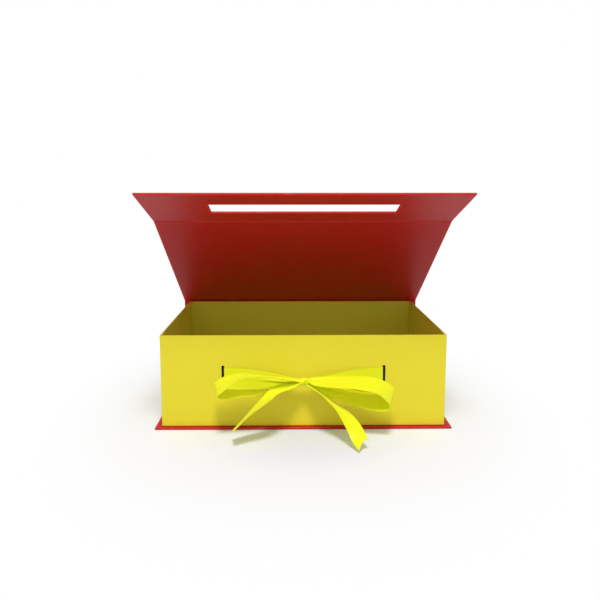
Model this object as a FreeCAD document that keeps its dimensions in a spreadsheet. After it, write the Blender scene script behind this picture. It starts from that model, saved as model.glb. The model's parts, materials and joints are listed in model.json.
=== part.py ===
import FreeCAD, Part
import os
import Sketcher

# Collapsible gift box: a red book-style cover of four paper-wrapped boards, a yellow
# tray whose side walls fold at a centre crease, and a ribbon tied in a bow.
# Millimetres. The origin is on the table, under the middle of the tray.
# +X is to the right, +Y to the back, +Z up.

doc = FreeCAD.newDocument("collapsible_gift_box")

# Driving sizes
SIZES = [
    ("tray_width", 300),
    ("tray_depth", 228),
    ("wall_height", 98),
    ("board_thickness", 1.7),
    ("paper_thickness", 0.15),
    ("liner_margin", 2.5),
    ("side_overhang", 7),
    ("front_overhang", 5.5),
    ("crease_clearance", 0.15),
    ("fold_clearance", 0.2),
    ("fold_bead_radius", 0.3),
    ("wall_lift", 0.3),
    ("floor_margin", 1),
    ("lid_clearance", 0.4),
    ("flap_clearance", 0.4),
    ("flap_ground_clearance", 0.5),
    ("lid_angle", 29.7),
    ("flap_angle", 16.2),
    ("window_width", 185),
    ("window_height", 32),
    ("window_drop", 2),
    ("ribbon_level", 52),
    ("ribbon_width", 24),
    ("ribbon_thickness", 0.4),
    ("slot_spacing", 169.2),
    ("slot_width", 3.0),
    ("slot_height", 28),
    ("slot_clearance", 0.2),
    ("band_gap", 0.12),
    ("knot_width", 10),
    ("knot_height", 8),
    ("knot_end_height", 6),
    ("knot_forward", 12.5),
    ("knot_gap", 0.3),
]
sheet = doc.addObject("Spreadsheet::Sheet", "Sizes")
for row, (alias, number) in enumerate(SIZES, start=1):
    sheet.set(f"A{row}", alias)
    sheet.set(f"B{row}", str(number))
    sheet.setAlias(f"B{row}", alias)
doc.recompute()

# Sizes that follow from the driving ones, as expressions on the sheet
PAPER = "Sizes.paper_thickness"
PANEL = f"(Sizes.board_thickness + 2 * {PAPER})"
COVER_WIDTH = "(Sizes.tray_width + 2 * Sizes.side_overhang)"
CREASE_GAP = f"({PANEL} / 2 + Sizes.crease_clearance)"
WALL_FOOT = f"({PANEL} + {PAPER} + Sizes.wall_lift)"
WALL_TOP = f"({WALL_FOOT} + Sizes.wall_height)"
SPINE_Y = f"(Sizes.tray_depth / 2 + {PANEL} / 2)"
LID_CREASE_Z = f"({WALL_TOP} + Sizes.lid_clearance + {PANEL} / 2)"
BASE_REACH = f"({SPINE_Y} + Sizes.tray_depth / 2 + Sizes.front_overhang)"
SPINE_REACH = f"({LID_CREASE_Z} - {PANEL} / 2)"
LID_REACH = f"({BASE_REACH} + Sizes.flap_clearance + {PANEL} / 2)"
FLAP_REACH = f"({LID_CREASE_Z} - Sizes.flap_ground_clearance)"
HALF_REACH = f"(Sizes.tray_depth / 2 - {PANEL} - Sizes.fold_clearance)"
FOLD_OFFSET = "(Sizes.fold_bead_radius + Sizes.crease_clearance)"
SLOT_INNER_EDGE = "(Sizes.slot_spacing / 2 - Sizes.slot_width / 2)"
LEG_X = f"({SLOT_INNER_EDGE} + Sizes.slot_clearance + Sizes.ribbon_thickness / 2)"
BAND_ROOM = "(Sizes.ribbon_thickness + 2 * Sizes.band_gap)"
RIBBON_Z = f"({PANEL} + Sizes.ribbon_level)"
WINDOW_NEAR = f"({LID_CREASE_Z} - {RIBBON_Z} + Sizes.window_drop - Sizes.window_height / 2)"
BOW_PLANE = f"(Sizes.front_overhang + Sizes.flap_clearance + {PANEL})"

# The bow's stations are drawn for this ribbon at this height, and follow the real one.
# Its lofts take a station at every spacing along the ribbon.
DRAWN_WIDTH = 24
DRAWN_LEVEL = 52
DRAWN_PLANE = 7.9
STATION_SPACING = 2.5


def value(expression):
    return float(sheet.evalExpression(expression))


def bind(feature, prop, expression):
    feature.setExpression(prop, str(expression))


def grown(rectangle, margin):
    """A rectangle (left, width, near, length) with a margin added on every side."""
    left, width, near, length = rectangle
    return (
        f"({left} - {margin})",
        f"({width} + 2 * {margin})",
        f"({near} - {margin})",
        f"({length} + 2 * {margin})",
    )


def draw_rectangle(sketch, label, rectangle):
    """Four lines, held by four named sizes that follow the sheet."""
    left, width, near, length = (value(size) for size in rectangle)
    corners = [
        FreeCAD.Vector(left, near, 0),
        FreeCAD.Vector(left + width, near, 0),
        FreeCAD.Vector(left + width, near + length, 0),
        FreeCAD.Vector(left, near + length, 0),
    ]
    first = sketch.GeometryCount
    for i in range(4):
        sketch.addGeometry(Part.LineSegment(corners[i], corners[(i + 1) % 4]), False)
    for i in range(4):
        sketch.addConstraint(Sketcher.Constraint("Coincident", first + i, 2, first + (i + 1) % 4, 1))
    for i in (0, 2):
        sketch.addConstraint(Sketcher.Constraint("Horizontal", first + i))
        sketch.addConstraint(Sketcher.Constraint("Vertical", first + i + 1))
    if left < 0:
        side = Sketcher.Constraint("DistanceX", first, 1, -1, 1, -left)
        side_size = f"-1 * {rectangle[0]}"
    else:
        side = Sketcher.Constraint("DistanceX", -1, 1, first, 1, left)
        side_size = rectangle[0]
    named = [
        ("left", side, side_size),
        ("width", Sketcher.Constraint("DistanceX", first, 1, first, 2, width), rectangle[1]),
        ("near", Sketcher.Constraint("DistanceY", -1, 1, first, 1, near), rectangle[2]),
        ("length", Sketcher.Constraint("DistanceY", first + 1, 1, first + 1, 2, length), rectangle[3]),
    ]
    for word, constraint, size in named:
        index = sketch.addConstraint(constraint)
        sketch.renameConstraint(index, f"{label}_{word}")
        bind(sketch, f"Constraints.{label}_{word}", size)


def new_body(name, placement):
    body = doc.addObject("PartDesign::Body", name)
    body.Label = name
    body.Placement = placement
    return body


def pad(body, name, rectangles, bottom, height):
    """A pad on the body's XY plane, from a height above it, of nested rectangles."""
    sketch = body.newObject("Sketcher::SketchObject", f"{body.Name}_{name}_outline")
    plane = next(item for item in body.Origin.OriginFeatures if item.Role == "XY_Plane")
    sketch.AttachmentSupport = [(plane, "")]
    sketch.MapMode = "FlatFace"
    bind(sketch, "AttachmentOffset.Base.z", bottom)
    for i, rectangle in enumerate(rectangles):
        draw_rectangle(sketch, f"{name}{i}", rectangle)
    feature = body.newObject("PartDesign::Pad", f"{body.Name}_{name}")
    feature.Profile = sketch
    bind(feature, "Length", height)
    return feature


def add_panel(name, outline, placement, windows=(), ribbon_room=None):
    """A wrapped board: local Z is 0 half way through it, and points to its lined side.

    With room for a ribbon behind the board, the lining covers the windows and the ribbon."""
    papered = [grown(window, PAPER) for window in windows]
    margined = [grown(window, "Sizes.liner_margin") for window in windows]
    board_outline = grown(outline, f"(-1 * {PAPER})")
    liner_outline = grown(outline, "(-1 * Sizes.liner_margin)")
    outer_face = f"-1 * {PANEL} / 2"
    inner_layer = f"{PANEL} / 2 - {PAPER}"

    board = new_body(f"{name}_board", placement)
    pad(board, "board", [board_outline, *papered], f"{outer_face} + {PAPER}", "Sizes.board_thickness")

    wrap = new_body(f"{name}_wrap", placement)
    pad(wrap, "face", [outline, *windows], outer_face, PAPER)
    pad(wrap, "edges", [outline, board_outline, *papered, *windows], outer_face, PANEL)
    pad(wrap, "turn_in", [outline, liner_outline, *margined, *windows], inner_layer, PAPER)

    liner = new_body(f"{name}_liner", placement)
    if ribbon_room is None:
        pad(liner, "liner", [liner_outline, *margined], inner_layer, PAPER)
    else:
        clear_of_folds = grown(liner_outline, "(-2 * Sizes.fold_bead_radius)")
        pad(liner, "liner", [clear_of_folds], f"{PANEL} / 2 + {ribbon_room}", PAPER)
    return [board, wrap, liner]


def add_box(name, size, corner):
    """A box with its sizes and its low corner bound to expressions."""
    box = doc.addObject("Part::Box", name)
    for prop, expression in zip(("Length", "Width", "Height"), size):
        bind(box, prop, expression)
    for axis, expression in zip("xyz", corner):
        bind(box, f"Placement.Base.{axis}", expression)
    return box


def add_crease(name, y, z):
    """The rounded paper of a cover crease: a bead on the crease's axis."""
    bead = doc.addObject("Part::Cylinder", name)
    bind(bead, "Radius", f"{PANEL} / 2")
    bind(bead, "Height", COVER_WIDTH)
    start = FreeCAD.Vector(-value(COVER_WIDTH) / 2, y, z)
    bead.Placement = FreeCAD.Placement(start, FreeCAD.Rotation(FreeCAD.Vector(0, 1, 0), 90))
    return bead


nodes = []

# Cover panels. Each is drawn from the crease that it swings on, along its own Y.
cover_left = f"(-1 * {COVER_WIDTH} / 2)"


def cover_outline(reach):
    """From the crease gap to the next crease gap."""
    return (cover_left, COVER_WIDTH, CREASE_GAP, f"({reach} - 2 * {CREASE_GAP})")


def cover_end_outline(reach):
    """From the crease gap to a free edge."""
    return (cover_left, COVER_WIDTH, CREASE_GAP, f"({reach} - {CREASE_GAP})")


X_AXIS = FreeCAD.Vector(1, 0, 0)
Z_AXIS = FreeCAD.Vector(0, 0, 1)
base_crease = FreeCAD.Vector(0, value(SPINE_Y), value(f"{PANEL} / 2"))
lid_crease = FreeCAD.Vector(0, value(SPINE_Y), value(LID_CREASE_Z))
lid_turn = FreeCAD.Rotation(X_AXIS, 180 - value("Sizes.lid_angle"))
flap_turn = FreeCAD.Rotation(X_AXIS, 180 - value("Sizes.flap_angle"))
lid_direction = lid_turn.multVec(FreeCAD.Vector(0, 1, 0))
flap_crease = lid_crease + lid_direction * value(LID_REACH)
upright_turn = FreeCAD.Rotation(X_AXIS, 90)
half_turn = FreeCAD.Rotation(Z_AXIS, 180)

window = (
    "(-1 * Sizes.window_width / 2)",
    "Sizes.window_width",
    WINDOW_NEAR,
    "Sizes.window_height",
)
nodes += add_panel("base", cover_end_outline(BASE_REACH), FreeCAD.Placement(base_crease, half_turn))
nodes += add_panel("spine", cover_outline(SPINE_REACH), FreeCAD.Placement(base_crease, upright_turn))
nodes += add_panel("lid", cover_outline(LID_REACH), FreeCAD.Placement(lid_crease, lid_turn))
nodes += add_panel("flap", cover_end_outline(FLAP_REACH), FreeCAD.Placement(flap_crease, flap_turn), [window])

# Cover creases
nodes.append(add_crease("base_crease", base_crease.y, base_crease.z))
nodes.append(add_crease("lid_crease", lid_crease.y, lid_crease.z))
nodes.append(add_crease("flap_crease", flap_crease.y, flap_crease.z))

# Floor sheet inside the tray
floor_inset = f"({PANEL} + Sizes.floor_margin)"
floor_width = f"(Sizes.tray_width - 2 * {floor_inset})"
floor_depth = f"(Sizes.tray_depth - 2 * {floor_inset})"
floor_corner = (f"-1 * {floor_width} / 2", f"-1 * {floor_depth} / 2", PANEL)
nodes.append(add_box("floor_sheet", (floor_width, floor_depth, PAPER), floor_corner))

# Front and back walls of the tray, drawn upwards from the table
wall_outline = ("(-1 * Sizes.tray_width / 2)", "Sizes.tray_width", WALL_FOOT, "Sizes.wall_height")
slot_near = f"({RIBBON_Z} - Sizes.slot_height / 2)"
slots = [
    (f"({side} * Sizes.slot_spacing / 2 - Sizes.slot_width / 2)", "Sizes.slot_width", slot_near, "Sizes.slot_height")
    for side in (-1, 1)
]
wall_middle = value(f"Sizes.tray_depth / 2 - {PANEL} / 2")
back_place = FreeCAD.Placement(FreeCAD.Vector(0, wall_middle, 0), upright_turn)
front_place = FreeCAD.Placement(FreeCAD.Vector(0, -wall_middle, 0), half_turn.multiply(upright_turn))
nodes += add_panel("back_wall", wall_outline, back_place)
nodes += add_panel("front_wall", wall_outline, front_place, slots, BAND_ROOM)

# Side walls of the tray, each two halves that fold at the centre crease.
# A half runs forwards along its local Y from the axis that it swings on.
half_outline = (
    "(-1 * Sizes.wall_height / 2)",
    "Sizes.wall_height",
    "Sizes.fold_clearance",
    f"({HALF_REACH} - 2 * Sizes.fold_clearance)",
)
half_height = value(f"{WALL_FOOT} + Sizes.wall_height / 2")
side_middle = value(f"Sizes.tray_width / 2 - {PANEL} / 2")
forwards = FreeCAD.Vector(0, -1, 0)
for side_name, side in (("left", -1), ("right", 1)):
    inwards = X_AXIS * -side
    side_turn = FreeCAD.Rotation(forwards.cross(inwards), forwards, inwards, "ZYX")
    for half_name, start in (("rear", value(HALF_REACH)), ("front", 0)):
        half_place = FreeCAD.Placement(FreeCAD.Vector(side * side_middle, start, half_height), side_turn)
        nodes += add_panel(f"{side_name}_{half_name}", half_outline, half_place)

# Paper folds of the tray: a thin bead on each corner's axis, inside the corner, and on
# each centre crease's axis, outside the two halves
corner_x = f"(Sizes.tray_width / 2 - {PANEL} - {FOLD_OFFSET})"
corner_y = f"(Sizes.tray_depth / 2 - {PANEL} - {FOLD_OFFSET})"
centre_x = f"(Sizes.tray_width / 2 + {FOLD_OFFSET})"
for side_name, side in (("left", -1), ("right", 1)):
    for fold_name, x, y in (
        ("rear_corner", corner_x, corner_y),
        ("centre", centre_x, "0"),
        ("front_corner", corner_x, f"(-1 * {corner_y})"),
    ):
        fold = doc.addObject("Part::Cylinder", f"{side_name}_{fold_name}_crease")
        bind(fold, "Radius", "Sizes.fold_bead_radius")
        bind(fold, "Height", "Sizes.wall_height")
        bind(fold, "Placement.Base.x", f"{side} * {x}")
        bind(fold, "Placement.Base.y", y)
        bind(fold, "Placement.Base.z", WALL_FOOT)
        nodes.append(fold)

# Ribbon band: it runs behind the front wall, under its lining, and comes out through
# both slots along their inner edges
band_y = f"(-1 * Sizes.tray_depth / 2 + {PANEL} + Sizes.band_gap)"
band_low = f"({RIBBON_Z} - Sizes.ribbon_width / 2)"
leg_depth = f"({PANEL} + Sizes.band_gap + Sizes.ribbon_thickness)"
band_half = f"({LEG_X} + Sizes.ribbon_thickness / 2)"
band_back = add_box(
    "ribbon_band_back",
    (f"2 * {band_half}", "Sizes.ribbon_thickness", "Sizes.ribbon_width"),
    (f"-1 * {band_half}", band_y, band_low),
)
band_legs = [
    add_box(
        f"ribbon_band_{side_name}_leg",
        ("Sizes.ribbon_thickness", leg_depth, "Sizes.ribbon_width"),
        (f"{side} * {LEG_X} - Sizes.ribbon_thickness / 2", "-1 * Sizes.tray_depth / 2", band_low),
    )
    for side_name, side in (("left", -1), ("right", 1))
]
ribbon_band = doc.addObject("Part::MultiFuse", "ribbon_band")
ribbon_band.Shapes = [band_back, *band_legs]
nodes.append(ribbon_band)

# Knot: a barrel along X, turned from an arc over a rectangle
knot_half = "Sizes.knot_width / 2"
knot_end = "Sizes.knot_end_height / 2"
knot_rise = "((Sizes.knot_height - Sizes.knot_end_height) / 2)"
knot_bulge = f"(({knot_half}) ^ 2 + {knot_rise} ^ 2) / (2 * {knot_rise})"
bow_knot = new_body("bow_knot", FreeCAD.Placement())
bind(bow_knot, "Placement.Base.y", "-1 * Sizes.tray_depth / 2 - Sizes.knot_forward")
bind(bow_knot, "Placement.Base.z", RIBBON_Z)
knot_profile = bow_knot.newObject("Sketcher::SketchObject", "bow_knot_profile")
knot_plane = next(item for item in bow_knot.Origin.OriginFeatures if item.Role == "XY_Plane")
knot_profile.AttachmentSupport = [(knot_plane, "")]
knot_profile.MapMode = "FlatFace"
end_x = value(knot_half)
end_y = value(knot_end)
profile_corners = [
    FreeCAD.Vector(-end_x, 0, 0),
    FreeCAD.Vector(end_x, 0, 0),
    FreeCAD.Vector(end_x, end_y, 0),
    FreeCAD.Vector(-end_x, end_y, 0),
]
crown = FreeCAD.Vector(0, end_y + value(knot_rise), 0)
knot_profile.addGeometry(Part.LineSegment(profile_corners[0], profile_corners[1]), False)
knot_profile.addGeometry(Part.LineSegment(profile_corners[1], profile_corners[2]), False)
knot_profile.addGeometry(Part.LineSegment(profile_corners[3], profile_corners[0]), False)
knot_profile.addGeometry(Part.Arc(profile_corners[2], crown, profile_corners[3]), False)
knot_profile.addConstraint(
    [
        Sketcher.Constraint("Coincident", 0, 2, 1, 1),
        Sketcher.Constraint("Coincident", 0, 1, 2, 2),
        Sketcher.Constraint("Coincident", 1, 2, 3, 1),
        Sketcher.Constraint("Coincident", 2, 1, 3, 2),
        Sketcher.Constraint("Symmetric", 0, 1, 0, 2, -1, 1),
        Sketcher.Constraint("Horizontal", 0),
        Sketcher.Constraint("Vertical", 1),
        Sketcher.Constraint("Vertical", 2),
    ]
)
for word, constraint, size in (
    ("width", Sketcher.Constraint("DistanceX", 0, 1, 0, 2, 2 * end_x), "Sizes.knot_width"),
    ("left_end", Sketcher.Constraint("DistanceY", 2, 2, 2, 1, end_y), knot_end),
    ("right_end", Sketcher.Constraint("DistanceY", 1, 1, 1, 2, end_y), knot_end),
    ("bulge", Sketcher.Constraint("Radius", 3, value(knot_bulge)), knot_bulge),
):
    index = knot_profile.addConstraint(constraint)
    knot_profile.renameConstraint(index, word)
    bind(knot_profile, f"Constraints.{word}", size)
knot_barrel = bow_knot.newObject("PartDesign::Revolution", "bow_knot_barrel")
knot_barrel.Profile = knot_profile
knot_barrel.ReferenceAxis = (knot_profile, ["H_Axis"])
knot_barrel.Angle = 360
nodes.append(bow_knot)

# Loose ribbon. Each station is the two edges of the ribbon, as (side, forward, up):
# side from the box's middle, forward from the front wall, up from the ribbon's level.
LOOP_LEFT = [
    ((-5.3, 10.6, 1.8), (-5.3, 16.0, 0.5)),
    ((-23.5, 12.3, 4.4), (-23.4, 27.4, 7.2)),
    ((-41.1, 15.6, 7.5), (-40.3, 36.9, 11.2)),
    ((-53.3, 18.4, 10.1), (-54.0, 41.0, 12.2)),
    ((-63.2, 18.9, 10.8), (-63.9, 41.9, 10.3)),
    ((-72.6, 19.2, 9.9), (-71.4, 42.2, 5.7)),
    ((-81.6, 19.4, 7.4), (-77.9, 41.7, 0.5)),
    ((-88.4, 18.4, 3.8), (-83.1, 40.3, -4.2)),
    ((-92.0, 17.0, -0.1), (-86.3, 39.0, -7.4)),
    ((-92.6, 15.7, -3.2), (-86.7, 37.9, -9.5)),
    ((-90.7, 14.6, -6.0), (-84.8, 36.8, -10.9)),
    ((-87.2, 13.6, -7.2), (-81.5, 35.8, -11.3)),
    ((-82.2, 12.6, -7.9), (-76.7, 34.8, -11.2)),
    ((-70.4, 10.8, -8.8), (-66.7, 33.2, -10.2)),
    ((-56.0, 9.8, -10.7), (-53.6, 31.0, -9.3)),
    ((-44.0, 9.6, -10.9), (-42.0, 26.8, -8.8)),
    ((-30.0, 10.0, -9.0), (-29.0, 20.0, -7.6)),
    ((-16.0, 10.6, -6.0), (-16.0, 17.5, -5.8)),
    ((-5.3, 11.0, -3.2), (-5.3, 15.4, -3.8)),
]
LOOP_RIGHT = [
    ((5.3, 10.4, 2.2), (5.3, 14.4, -0.8)),
    ((18.6, 12.6, 5.1), (18.1, 27.6, -1.5)),
    ((32.0, 16.6, 6.6), (30.6, 38.0, 0.2)),
    ((48.1, 20.6, 8.1), (46.2, 42.6, 0.6)),
    ((64.3, 22.0, 7.9), (61.2, 43.7, -1.3)),
    ((77.6, 22.2, 5.1), (72.2, 43.5, -4.2)),
    ((86.0, 21.8, 0.9), (78.6, 42.0, -9.0)),
    ((91.7, 20.6, -3.8), (83.3, 40.4, -13.9)),
    ((93.7, 19.4, -7.9), (85.7, 39.5, -17.8)),
    ((93.3, 18.1, -10.9), (85.8, 38.5, -21.3)),
    ((90.4, 16.8, -12.7), (83.9, 37.4, -23.6)),
    ((86.6, 15.6, -13.4), (81.0, 36.2, -24.7)),
    ((81.8, 14.4, -13.6), (77.0, 35.0, -25.1)),
    ((72.0, 12.2, -13.4), (67.7, 33.0, -24.6)),
    ((58.5, 10.4, -11.6), (54.5, 31.0, -21.5)),
    ((42.9, 9.8, -8.8), (39.4, 28.4, -16.8)),
    ((27.3, 10.2, -6.0), (24.6, 24.0, -11.6)),
    ((14.0, 10.8, -3.4), (13.6, 18.6, -6.8)),
    ((5.3, 11.2, -1.6), (5.3, 15.6, -3.2)),
]
TAIL_LEFT = [
    ((-5.3, 12.4, -0.8), (-5.3, 17.4, -2.4)),
    ((-16.4, 14.0, -1.2), (-16.4, 25.1, -4.2)),
    ((-26.3, 18.0, -1.8), (-24.8, 34.0, -6.0)),
    ((-34.6, 25.5, -4.2), (-31.3, 45.5, -7.8)),
    ((-43.0, 32.6, -11.4), (-38.5, 52.5, -11.5)),
    ((-50.7, 34.4, -19.5), (-46.0, 55.4, -16.3)),
    ((-58.3, 36.0, -27.9), (-54.0, 57.6, -21.8)),
    ((-65.8, 38.4, -35.7), (-62.0, 60.2, -29.0)),
    ((-72.6, 41.0, -42.5), (-69.3, 63.0, -35.7)),
]
TAIL_RIGHT = [
    ((5.3, 12.9, -3.8), (5.3, 17.6, -4.7)),
    ((14.6, 13.8, -9.4), (12.3, 24.2, -6.9)),
    ((22.4, 15.4, -15.0), (18.8, 31.4, -10.0)),
    ((29.0, 18.0, -18.9), (24.7, 38.0, -14.4)),
    ((35.3, 21.4, -22.0), (29.7, 43.6, -18.5)),
    ((41.5, 25.5, -24.9), (34.2, 48.2, -24.2)),
    ((47.6, 31.0, -28.6), (38.0, 52.9, -30.5)),
    ((53.3, 40.0, -32.7), (42.0, 58.5, -37.7)),
    ((58.1, 52.2, -37.9), (46.4, 65.6, -46.1)),
    ((61.8, 65.4, -43.9), (51.9, 76.0, -51.0)),
]
# A strand's stations are shares: of the way from the slot to the knot, of the way out
# to the knot, and of the ribbon's half width above and below its level.
STRAND = [
    (0.0, 0.0, 1.0, 1.0),
    (0.26, 0.18, 0.95, 0.96),
    (0.52, 0.44, 0.76, 0.88),
    (0.77, 0.76, 0.46, 0.66),
    (1.0, 1.0, 0.18, 0.3),
]
STRAND_OUT = 9.0


def ribbon_point(side, forward, up):
    """A drawn point, moved to the real ribbon's width, level and plane."""
    wide = value("Sizes.ribbon_width") / DRAWN_WIDTH
    tall = value("Sizes.ribbon_level") / DRAWN_LEVEL
    front = value("Sizes.tray_depth") / 2 + value(BOW_PLANE)
    return FreeCAD.Vector(side * wide, -front - (forward - DRAWN_PLANE) * wide, value(RIBBON_Z) + up * tall)


def even_stations(stations):
    """The same ribbon, with its stations the same distance apart along its middle."""
    distances = [0.0]
    for (back, front), (next_back, next_front) in zip(stations, stations[1:]):
        step = (next_back + next_front - back - front).Length / 2
        distances.append(distances[-1] + step)
    edges = []
    for edge in zip(*stations):
        curve = Part.BSplineCurve()
        curve.interpolate(Points=list(edge), Parameters=distances)
        edges.append(curve)
    count = round(distances[-1] / STATION_SPACING)
    places = [distances[-1] * i / count for i in range(count + 1)]
    return [tuple(curve.value(place) for curve in edges) for place in places]


def ribbon_solid(stations):
    """A loft through one thin rectangle at each station, square to the ribbon there."""
    half = value("Sizes.ribbon_thickness") / 2
    middles = [(back + front) * 0.5 for back, front in stations]
    sections = []
    for i, (back, front) in enumerate(stations):
        ahead = middles[min(i + 1, len(middles) - 1)]
        behind = middles[max(i - 1, 0)]
        normal = (front - back).cross(ahead - behind)
        offset = normal.normalize() * half
        corners = [back + offset, front + offset, front - offset, back - offset]
        sections.append(Part.makePolygon([*corners, corners[0]]))
    return Part.makeLoft(sections, True, False)


def add_ribbon(name, stations):
    piece = doc.addObject("Part::Feature", name)
    piece.Shape = ribbon_solid(even_stations(stations))
    return piece


for name, drawn in (
    ("bow_left_loop", LOOP_LEFT),
    ("bow_right_loop", LOOP_RIGHT),
    ("bow_left_tail", TAIL_LEFT),
    ("bow_right_tail", TAIL_RIGHT),
):
    nodes.append(add_ribbon(name, [(ribbon_point(*back), ribbon_point(*front)) for back, front in drawn]))

# Strands from the slots to the knot
wall_face = -value("Sizes.tray_depth") / 2
strand_start = value(band_half)
strand_end = value("Sizes.knot_width / 2 + Sizes.knot_gap")
strand_near = value("Sizes.ribbon_thickness")
half_width = value("Sizes.ribbon_width") / 2
level = value(RIBBON_Z)
for side_name, side in (("left", -1), ("right", 1)):
    stations = []
    for along, out, above, below in STRAND:
        x = side * (strand_start + (strand_end - strand_start) * along)
        y = wall_face - strand_near - (STRAND_OUT - strand_near) * out
        upper = FreeCAD.Vector(x, y, level + half_width * above)
        lower = FreeCAD.Vector(x, y, level - half_width * below)
        stations.append((upper, lower))
    nodes.append(add_ribbon(f"ribbon_{side_name}_strand", stations))

# Checks, then one file for each piece
doc.recompute()
for item in doc.Objects:
    if {"Invalid", "Error"} & set(item.State):
        raise RuntimeError(f"{item.Name} failed: {item.State}")
for node in nodes:
    if node.Shape.isNull() or not node.Shape.isValid():
        raise RuntimeError(f"{node.Label} has no valid shape")

os.makedirs("parts", exist_ok=True)
for node in nodes:
    node.Shape.exportStep(f"parts/{node.Label}.step")
    print(f"{node.Label}: {len(node.Shape.Solids)} solid, {node.Shape.Volume:.1f} mm3")
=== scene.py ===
import json
import math

import bmesh
import bpy
import numpy as np
from mathutils import Matrix, Vector


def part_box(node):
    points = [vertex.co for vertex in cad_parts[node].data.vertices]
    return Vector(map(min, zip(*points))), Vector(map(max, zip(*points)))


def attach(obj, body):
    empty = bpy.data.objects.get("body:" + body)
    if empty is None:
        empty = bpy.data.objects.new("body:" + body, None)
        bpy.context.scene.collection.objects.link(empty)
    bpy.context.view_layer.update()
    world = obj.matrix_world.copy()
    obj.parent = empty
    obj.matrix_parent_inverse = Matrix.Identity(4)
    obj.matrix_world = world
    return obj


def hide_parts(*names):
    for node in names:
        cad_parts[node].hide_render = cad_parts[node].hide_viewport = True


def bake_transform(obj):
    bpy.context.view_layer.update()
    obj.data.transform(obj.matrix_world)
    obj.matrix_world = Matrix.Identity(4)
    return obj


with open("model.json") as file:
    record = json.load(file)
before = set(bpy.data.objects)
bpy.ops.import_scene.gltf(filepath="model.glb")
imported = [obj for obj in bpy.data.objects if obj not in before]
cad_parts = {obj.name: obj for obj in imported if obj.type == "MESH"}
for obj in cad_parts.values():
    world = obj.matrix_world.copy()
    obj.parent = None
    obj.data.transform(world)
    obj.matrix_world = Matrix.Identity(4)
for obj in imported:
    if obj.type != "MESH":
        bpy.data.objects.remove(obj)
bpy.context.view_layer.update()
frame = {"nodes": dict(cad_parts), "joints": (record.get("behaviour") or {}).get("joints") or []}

MM = 0.001
scene = bpy.context.scene

# Camera: stands in front of the box, a little to the left, and looks slightly down on it,
# as the photograph does. The focal length suits a square picture on a 36 mm sensor.
CAMERA_PLACE = Vector((-13.9, -839.6, 251.7)) * MM
CAMERA_PITCH = math.radians(8.93)
CAMERA_YAW = math.radians(0.80)
CAMERA_LENS = 42.6
CAMERA_SENSOR = 36

camera_data = bpy.data.cameras.new("camera")
camera_data.lens = CAMERA_LENS
camera_data.sensor_width = CAMERA_SENSOR
camera_data.clip_start = 0.01
camera = bpy.data.objects.new("camera", camera_data)
scene.collection.objects.link(camera)
camera_aim = Vector(
    (
        math.sin(CAMERA_YAW) * math.cos(CAMERA_PITCH),
        math.cos(CAMERA_YAW) * math.cos(CAMERA_PITCH),
        -math.sin(CAMERA_PITCH),
    )
)
camera.location = CAMERA_PLACE
camera.rotation_euler = camera_aim.to_track_quat("-Z", "Y").to_euler()
scene.camera = camera
scene.view_settings.view_transform = "Standard"


# Studio: a pale floor that fades to white, an even white sky and one soft lamp in front
# of the box and above it. Shader maths is written as expressions on wires.
class Wire:
    """One output socket of a node tree. Arithmetic on it adds a Math node."""

    def __init__(self, finish, socket):
        self.finish = finish
        self.socket = socket

    def math(self, operation, left, right):
        return self.finish.add("ShaderNodeMath", {"operation": operation}, {0: left, 1: right})[0]

    def __add__(self, other):
        return self.math("ADD", self, other)

    def __radd__(self, other):
        return self.math("ADD", other, self)

    def __sub__(self, other):
        return self.math("SUBTRACT", self, other)

    def __rsub__(self, other):
        return self.math("SUBTRACT", other, self)

    def __mul__(self, other):
        return self.math("MULTIPLY", self, other)

    def __truediv__(self, other):
        return self.math("DIVIDE", self, other)

    def __pow__(self, other):
        return self.math("POWER", self, other)


class Finish:
    """A node tree of a material, the world or a rule, filled one node at a time."""

    def __init__(self, tree):
        self.tree = tree
        tree.nodes.clear()

    def add(self, kind, settings=None, inputs=None):
        node = self.tree.nodes.new(kind)
        for name, setting in (settings or {}).items():
            if name == "stops":
                ramp = node.color_ramp.elements
                while len(ramp) < len(setting):
                    ramp.new(0.5)
                for element, (place, colour) in zip(ramp, setting):
                    element.position = place
                    element.color = (*colour, 1)
            else:
                setattr(node, name, setting)
        for key, given in (inputs or {}).items():
            socket = node.inputs[key]
            if isinstance(given, Wire):
                self.tree.links.new(given.socket, socket)
            elif socket.type == "RGBA" and len(given) == 3:
                socket.default_value = (*given, 1)
            else:
                socket.default_value = given
        return [Wire(self, socket) for socket in node.outputs]

    def mix(self, factor, first, second):
        """A colour between two colours."""
        return self.add("ShaderNodeMix", {"data_type": "RGBA"}, {0: factor, 6: first, 7: second})[2]

    def scaled(self, colour, factor):
        """A colour made lighter or darker by a wire."""
        grey = self.add("ShaderNodeCombineXYZ", {}, {0: factor, 1: factor, 2: factor})[0]
        settings = {"data_type": "RGBA", "blend_type": "MULTIPLY"}
        return self.add("ShaderNodeMix", settings, {0: 1.0, 6: colour, 7: grey})[2]

    def noise(self, place, scale, detail=2.0, roughness=0.5):
        inputs = {"Vector": place, "Scale": scale, "Detail": detail, "Roughness": roughness}
        return self.add("ShaderNodeTexNoise", {}, inputs)[0]


def colour(red, green, blue):
    """A colour as read off a screen, 0 to 255, in the renderer's linear numbers."""
    linear = []
    for channel in (red, green, blue):
        if channel > 10:
            linear.append(((channel / 255 + 0.055) / 1.055) ** 2.4)
        else:
            linear.append(channel / 255 / 12.92)
    return tuple(linear)


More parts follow.
